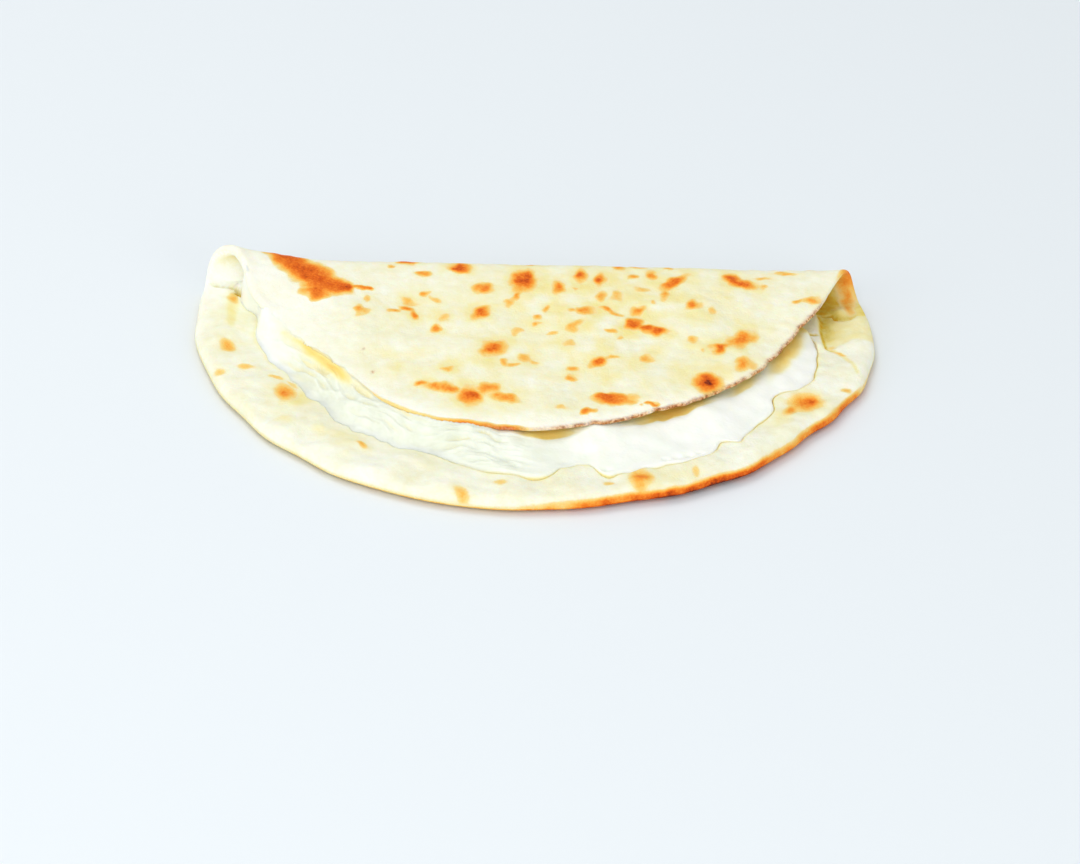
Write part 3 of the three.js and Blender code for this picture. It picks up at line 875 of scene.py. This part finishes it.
def smear_streaks(x, y):
    """Fine crests drawn out along the upper leaf's edge, from about -1 in the valleys to 1."""
    along = 100.0 * np.arctan2(y - ROUND_CENTRE_Y, x)
    across = under_leaf(x, y) + 1.2 * ripples(x, y, 16.0, 71)
    broad = 1.0 - 1.6 * np.abs(ripples(along / 7.0, across, 2.6, 74))
    fine = 1.0 - 1.6 * np.abs(ripples(along / 6.0, across, 1.3, 76))
    return 0.65 * broad + 0.35 * fine


def labneh_relief(x, y, to_groove, to_leaf):
    calm = 0.34 * ripples(x, y, 15.0, 72) + 0.1 * ripples(x, y, 4.5, 73)
    crest = 0.7 * hump(to_groove, 4, 2.6) - 0.6 * hump(to_groove, 9.5, 4)
    rough = crest + 0.75 * smear_streaks(x, y) * step_up(to_groove, 0.8, 3)
    relief = calm + smeared(x) * rough * step_up(to_leaf, 0.2, 2)
    for dent_x, dent_y, wide in LABNEH_DENTS:
        relief = relief - 0.9 * bell(np.hypot(x - dent_x, 1.4 * (y - dent_y)) / wide)
    return relief


def labneh_top(x, y):
    """At the left the labneh laps over the upper leaf's edge; to the right it lies below the leaf."""
    cover = under_leaf(x, y)
    forwards = np.maximum(0.0, ROUND_CENTRE_Y + FOLD_START - y)
    leaf_middle = upper_middle(x, forwards)
    to_groove = inside_groove(x, y)
    to_leaf = np.maximum(-cover, 0.0)
    share = to_groove / (to_groove + to_leaf + 0.01)
    lapped = step_up(-x, 13, 8)
    far_left = step_up(-x, 48, 14)
    high = leaf_middle + 0.3 + 0.5 * far_left
    against_leaf = mix(8.0, high, lapped) + 1.2 * hump(x, 18, 6) * bell(to_leaf / 4.0)
    free = mix(LABNEH_FRONT, against_leaf, smooth(share)) + labneh_relief(x, y, to_groove, to_leaf)
    leaf_v = FOLD_END + forwards
    ceiling = leaf_middle - half_leaf(x, leaf_v) - LABNEH_GAP
    lap = leaf_middle + half_leaf(x, leaf_v) + 0.35 - 0.35 * cover + 0.12 * ripples(x, y, 5.0, 77)
    over = far_left * (1.0 - step_up(cover, 2.5, 0.5))
    return np.where(cover > 0.0, mix(np.minimum(free, ceiling), lap, over), free)


def labneh_stain_and_shade(x, y):
    """Where the labneh is tinged yellow: oily streaks along the upper leaf, and painted shade in its
    valleys, groove and under the leaf.
    """
    cover = under_leaf(x, y)
    to_groove = inside_groove(x, y)
    streak = 0.62 * hump(x, -79, 13) * hump(cover, -1, 2.2)
    streak = streak + 0.45 * bell(np.hypot((x + 71.0) / 4.5, (cover + 1.8) / 2.4))
    streak = streak * np.clip(0.85 + 0.3 * smear_streaks(x, y), 0.3, 1.1)
    # Painted amber shade on the labneh under, and just in front of, the upper leaf's edge.
    gap = (0.6 * hump(x, 2, 11) + 0.75 * hump(x, 46, 13)) * step_up(cover, -1.8, 1.4)
    # Painted golden shade, with light bounced from the bread, under the upper leaf's right part.
    right = 0.65 * hump(x, 89, 7) * step_up(cover, -6.5, 6)
    right = np.maximum(right, 0.4 * hump(x, 72, 6) * step_up(cover, -2, 1.6))
    # Painted shade in the valleys between the smeared streaks.
    valleys = 0.26 * smeared(x) * np.clip(-smear_streaks(x, y), 0.0, 1.0)
    valleys = valleys * step_up(cover, -16, 12) * step_up(x, -96, 10)
    # Painted olive shade on the labneh's side of a sharp groove.
    crease = 0.4 * bell(to_groove / 0.45) * sharpness_at(x, y)
    # Painted golden shade at the labneh's right end, under the upper leaf's corner.
    end = 0.5 * step_up(x, 86, 6) * step_up(y, 31, 6)
    return np.clip(np.maximum.reduce([streak, gap, right, valleys, crease, end]), 0.0, 1.0)


def labneh_thinness(x):
    """The labneh is thinner and creamier to the left, but for its far end."""
    return step_up(-x, -60, 110) * (1.0 - step_up(-x, 84, 12))


class Rings:
    """A closed surface of rings round an upright line, from the top's middle round to the bottom's."""

    def __init__(self, top):
        self.points, self.faces, self.face_side = [top], [], []
        self.before = None

    def add(self, x, y, z, side):
        first = len(self.points)
        self.points.extend(zip(x.tolist(), y.tolist(), z.tolist()))
        count = len(x)
        for j in range(count):
            k = (j + 1) % count
            if self.before is None:
                self.faces.append((0, first + j, first + k))
            else:
                self.faces.append((self.before + j, first + j, first + k, self.before + k))
            self.face_side.append(side)
        self.before = first
        self.count = count

    def close(self, bottom):
        last = len(self.points)
        self.points.append(bottom)
        for j in range(self.count):
            self.faces.append((last, self.before + (j + 1) % self.count, self.before + j))
            self.face_side.append(-1)


def labneh_skin(x, y, to_edge):
    """Height of the labneh's upper side, which swells up from its edge: steeply at a sharp groove."""
    sharp = sharpness_at(x, y)
    wide = mix(7.0, 2.3, step_up(-x, 92, 8))
    soft = 0.5 * (smooth(to_edge / wide) + quarter_round(to_edge / wide))
    swell = mix(soft, quarter_round(to_edge / 1.5), sharp)
    foot = mix(dough_top(x, y) + 0.1, BED + 1.2, sharp)
    return mix(foot, labneh_top(x, y), swell)


def labneh_rings():
    """The labneh's surface: its upper side from the hub out to the edge, then back underneath."""
    angle = 2.0 * np.pi * np.arange(LABNEH_SECTORS) / LABNEH_SECTORS
    edge = reach(LABNEH_HUB_Y, angle, labneh_inside)
    c, s = np.cos(angle), np.sin(angle)
    inside = np.maximum(edge - LABNEH_BAND[0], 6.0)
    radii = [share * inside for share in (0.3, 0.55, 0.8)]
    radii += [np.maximum(edge - depth, inside + 0.01 * i) for i, depth in enumerate(LABNEH_BAND)]
    middle = float(labneh_top(np.array(0.0), np.array(LABNEH_HUB_Y)))
    rings = Rings((0.0, LABNEH_HUB_Y, middle))
    for r in radii:
        x, y = r * c, LABNEH_HUB_Y + r * s
        rings.add(x, y, labneh_skin(x, y, edge - r), 1)
    for depth in LABNEH_UNDER:
        r = edge - depth
        inner = np.maximum(edge - np.maximum(depth, 0.4), 0.0)
        below = dough_top(inner * c, LABNEH_HUB_Y + inner * s) + LABNEH_GAP
        rings.add(r * c, LABNEH_HUB_Y + r * s, below, -1)
    r = 0.4 * edge
    rings.add(r * c, LABNEH_HUB_Y + r * s, np.full_like(r, BED + LABNEH_GAP), -1)
    rings.close((0.0, LABNEH_HUB_Y, BED + LABNEH_GAP))
    return rings


def make_labneh():
    rings = labneh_rings()
    piece = new_mesh("labneh_layer", rings.points, rings.faces)
    x, y, _ = np.array(rings.points).T
    add_field(piece, "stain_and_shade", labneh_stain_and_shade(x, y))
    add_field(piece, "thinness", labneh_thinness(x))
    add_map(piece, x, y, rings.face_side, LABNEH_MAP_CENTRES, LABNEH_MAP_SIZE)
    return piece


# ---- Materials ----
def srgb(r, g, b):
    def linear(c):
        c /= 255.0
        return c / 12.92 if c <= 0.04045 else ((c + 0.055) / 1.055) ** 2.4

    return (linear(r), linear(g), linear(b), 1.0)


# The mix node's colour sockets, which share their names with its other sockets.
MIX_COLOUR_A = 6
MIX_COLOUR_B = 7
MIX_COLOUR_OUT = 2


class Nodes:
    """Short calls for one material's nodes. Inputs are numbers, colours or other nodes' outputs."""

    def __init__(self, name):
        self.material = bpy.data.materials.new(name)
        self.material.use_nodes = True
        self.tree = self.material.node_tree
        self.place = self.node("ShaderNodeTexCoord", "Object", {})

    def fill(self, made, inputs):
        for key, value in inputs.items():
            if isinstance(value, bpy.types.NodeSocket):
                self.tree.links.new(value, made.inputs[key])
            else:
                made.inputs[key].default_value = value

    def node(self, kind, output, inputs, **settings):
        made = self.tree.nodes.new(kind)
        for key, value in settings.items():
            setattr(made, key, value)
        self.fill(made, inputs)
        return made.outputs[output]

    def shade(self, inputs):
        self.fill(self.tree.nodes["Principled BSDF"], inputs)
        return self.material

    def field(self, name):
        return self.node("ShaderNodeAttribute", "Fac", {}, attribute_name=name)

    def maths(self, operation, *values, clamp=False):
        inputs = dict(enumerate(values))
        return self.node("ShaderNodeMath", 0, inputs, operation=operation, use_clamp=clamp)

    def noise(self, size_mm, detail=2.0, rough=0.5):
        inputs = {"Scale": 1.0 / (size_mm * MM), "Detail": detail, "Roughness": rough}
        return self.node("ShaderNodeTexNoise", "Fac", inputs | {"Vector": self.place})

    def ramp(self, value, stops):
        made = self.tree.nodes.new("ShaderNodeValToRGB")
        elements = made.color_ramp.elements
        while len(elements) > 1:
            elements.remove(elements[-1])
        elements[0].position, elements[0].color = stops[0][0], srgb(*stops[0][1:])
        for position, *colour in stops[1:]:
            elements.new(position).color = srgb(*colour)
        self.fill(made, {"Fac": value})
        return made.outputs["Color"]

    def blend(self, share, a, b):
        inputs = {"Factor": share, MIX_COLOUR_A: a, MIX_COLOUR_B: b}
        return self.node("ShaderNodeMix", MIX_COLOUR_OUT, inputs, data_type="RGBA")

    def range(self, value, low, high, to_low=0.0, to_high=1.0):
        inputs = {"From Min": low, "From Max": high, "To Min": to_low, "To Max": to_high}
        inputs["Value"] = value
        return self.node("ShaderNodeMapRange", "Result", inputs, interpolation_type="SMOOTHSTEP")

    def bump(self, height, depth_mm, under=None):
        inputs = {"Strength": 1.0, "Distance": depth_mm * MM, "Height": height}
        if under is not None:
            inputs["Normal"] = under
        return self.node("ShaderNodeBump", "Normal", inputs)


# Colour ramps: (position, red, green, blue of 255).
PALE_DOUGH = [(0.3, 243, 245, 234), (0.5, 238, 238, 215), (0.7, 232, 229, 193)]
# The dough's own yellower tones, and painted shade in its creases, groove and fold.
WARM_AND_SHADED_DOUGH = [
    (0.14, 238, 232, 184), (0.35, 236, 222, 144), (0.6, 222, 196, 80), (0.8, 220, 170, 46),
    (1.0, 194, 138, 20),
]
# Browning colours; their dark end also gives the streak of painted shadow along the upper leaf's edge.
TOASTED_AND_SHADOWED = [
    (0.04, 236, 226, 184), (0.12, 240, 214, 142), (0.24, 242, 192, 96), (0.36, 243, 162, 60),
    (0.48, 238, 134, 38), (0.6, 224, 106, 20), (0.72, 204, 84, 10), (0.84, 160, 58, 12),
    (0.96, 100, 38, 20),
]
# Colours of the dry cut edge, also used for painted shadow under a torn bit of it.
DRY_CRUST_AND_SHADOW = [(0.35, 140, 78, 34), (0.5, 194, 132, 78), (0.66, 232, 198, 152)]
THICK_LABNEH = [(0.3, 249, 252, 244), (0.7, 243, 249, 237)]
# Oily yellow streaks on the labneh, and painted shade under the upper leaf, in valleys and along the
# groove.
TINGED_AND_SHADED_LABNEH = [(0.2, 242, 236, 190), (0.5, 244, 218, 128), (1.0, 240, 180, 60)]


def dough_colour(n, coarse, middling):
    """The pale dough: yellower in its own tone and in painted shade, whiter where dusted and in painted
    light.
    """
    mottle = n.maths("ADD", n.maths("MULTIPLY", coarse, 0.6), n.maths("MULTIPLY", middling, 0.4))
    warm_and_shade = n.maths("MULTIPLY", n.field("warmth_and_shade"), n.range(middling, 0.2, 0.8, 0.75, 1.25))
    warmed_and_shaded = n.ramp(n.maths("MULTIPLY", warm_and_shade, 0.7, clamp=True), WARM_AND_SHADED_DOUGH)
    colour = n.blend(n.range(warm_and_shade, 0.0, 0.3), n.ramp(mottle, PALE_DOUGH), warmed_and_shaded)
    speckle = n.range(n.noise(0.8, 3.0, 0.7), 0.35, 0.65, 0.7, 1.0)
    # The same near white is used for the floury dust and the painted light.
    return n.blend(n.maths("MULTIPLY", n.field("flour_and_light"), speckle), colour, srgb(250, 251, 243))


def toast_and_shadow_colour(n, colour, middling, fine):
    """The brown spots and rim over the dough's colour, the dry, crusty face of the cut edge, and a
    streak of painted shadow.
    """
    uneven = n.maths("MULTIPLY_ADD", n.maths("SUBTRACT", middling, 0.5), 0.8, 1.0)
    uneven = n.maths("ADD", uneven, n.maths("MULTIPLY", n.maths("SUBTRACT", fine, 0.5), 0.7))
    browning_and_shadow = n.maths("MULTIPLY", n.field("toast_and_shadow"), uneven)
    toasted_and_shadowed = n.ramp(n.maths("MULTIPLY", browning_and_shadow, 0.8, clamp=True), TOASTED_AND_SHADOWED)
    colour = n.blend(n.range(browning_and_shadow, 0.03, 0.15), colour, toasted_and_shadowed)
    return n.blend(n.field("crust_and_shadow"), colour, n.ramp(fine, DRY_CRUST_AND_SHADOW))


def bread_material():
    n = Nodes("baked_dough")
    coarse, middling, fine = n.noise(16.0, 2.0), n.noise(3.4, 3.0, 0.6), n.noise(0.9, 2.0, 0.6)
    normal = n.bump(middling, 0.3)
    normal = n.bump(fine, 0.12, normal)
    return n.shade({
        "Base Color": toast_and_shadow_colour(n, dough_colour(n, coarse, middling), middling, fine),
        "Roughness": n.range(n.field("toast_and_shadow"), 0.0, 0.6, 0.68, 0.55),
        "Specular IOR Level": 0.1,
        "Subsurface Weight": 0.3,
        "Subsurface Radius": (1.0, 0.6, 0.3),
        "Subsurface Scale": 0.0015,
        "Normal": n.bump(n.noise(0.45, 2.0, 0.6), 0.05, normal),
    })


def labneh_material():
    n = Nodes("labneh_white")
    coarse, fine = n.noise(9.0, 3.0, 0.6), n.noise(1.4, 2.0, 0.5)
    patchy = n.maths("MULTIPLY", n.field("thinness"), n.range(coarse, 0.35, 0.65, 0.65, 1.05))
    white = n.blend(patchy, n.ramp(coarse, THICK_LABNEH), srgb(226, 231, 213))
    # Yellow from oily streaks, and from painted shade under the upper leaf, in valleys and along the
    # groove.
    stain_and_shade_share = n.maths("MULTIPLY", n.field("stain_and_shade"), n.range(coarse, 0.25, 0.6, 0.75, 1.0))
    return n.shade({
        "Base Color": n.blend(n.range(stain_and_shade_share, 0.02, 0.35), white, n.ramp(stain_and_shade_share, TINGED_AND_SHADED_LABNEH)),
        "Roughness": 0.36,
        "Specular IOR Level": 0.45,
        "Subsurface Weight": 0.5,
        "Subsurface Radius": (1.0, 0.9, 0.7),
        "Subsurface Scale": 0.003,
        "Normal": n.bump(fine, 0.06, n.bump(coarse, 0.3)),
    })


# ---- The studio ----
AZIMUTH = math.radians(-2.6)  # a little to the left of straight in front
ELEVATION = math.radians(34.27)
ROLL = math.radians(2.65)
DISTANCE = 1333.9
TARGET = (0.2, -26.3, 4.0)
LENS = 128.64
SENSOR_WIDTH = 36.0
FLOOR_REACH_M = 3.0
# Disk lights: name, place in metres, size in metres and power in watts.
LIGHTS = [
    ("key", (-0.5, 0.7, 1.5), 1.0, 7.0),
    ("fill", (-0.3, -1.1, 1.4), 1.3, 7.8),
    ("side", (-1.2, -0.9, 0.45), 1.0, 5.5),
    ("low", (0.9, -1.3, 0.4), 1.0, 5.0),
]
WORLD_COLOUR = (1.0, 1.0, 0.99, 1.0)
WORLD_STRENGTH = 0.62


def make_camera():
    """A long lens from the front, looking down at the middle of the bread."""
    level = math.cos(ELEVATION)
    across, back = math.sin(AZIMUTH) * level, -math.cos(AZIMUTH) * level
    away = Vector((across, back, math.sin(ELEVATION)))
    data = bpy.data.cameras.new("camera")
    data.lens = LENS
    data.sensor_width = SENSOR_WIDTH
    camera = add_object("camera", data)
    place = Matrix.Translation(Vector(TARGET) * MM + away * DISTANCE * MM)
    turn = away.to_track_quat("Z", "Y").to_matrix().to_4x4()
    camera.matrix_world = place @ turn @ Matrix.Rotation(ROLL, 4, "Z")
    bpy.context.scene.camera = camera


def make_floor():
    mesh = bpy.data.meshes.new("floor")
    square = ((-1, -1), (1, -1), (1, 1), (-1, 1))
    corners = [(x * FLOOR_REACH_M, y * FLOOR_REACH_M, 0) for x, y in square]
    mesh.from_pydata(corners, [], [(0, 1, 2, 3)])
    pale = Nodes("pale_floor").shade({"Base Color": srgb(229, 236, 241), "Roughness": 0.6})
    mesh.materials.append(pale)
    floor = add_object("floor", mesh)


def make_light(name, place, size, power):
    data = bpy.data.lights.new(name, "AREA")
    data.shape = "DISK"
    data.size = size
    data.energy = power
    light = add_object(name, data)
    light.location = place
    light.rotation_euler = (-Vector(place)).to_track_quat("-Z", "Y").to_euler()


def make_studio():
    make_floor()
    for light in LIGHTS:
        make_light(*light)
    world = bpy.data.worlds.new("studio")
    world.use_nodes = True
    background = world.node_tree.nodes["Background"]
    background.inputs["Color"].default_value = WORLD_COLOUR
    background.inputs["Strength"].default_value = WORLD_STRENGTH
    bpy.context.scene.world = world
    bpy.context.scene.view_settings.view_transform = "Standard"


# ---- Assembly ----
make_camera()
make_studio()

bread = make_bread()
bread.data.materials.append(bread_material())
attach(bread, "root")
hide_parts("bread")

labneh = make_labneh()
labneh.data.materials.append(labneh_material())
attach(labneh, "root")
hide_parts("labneh")
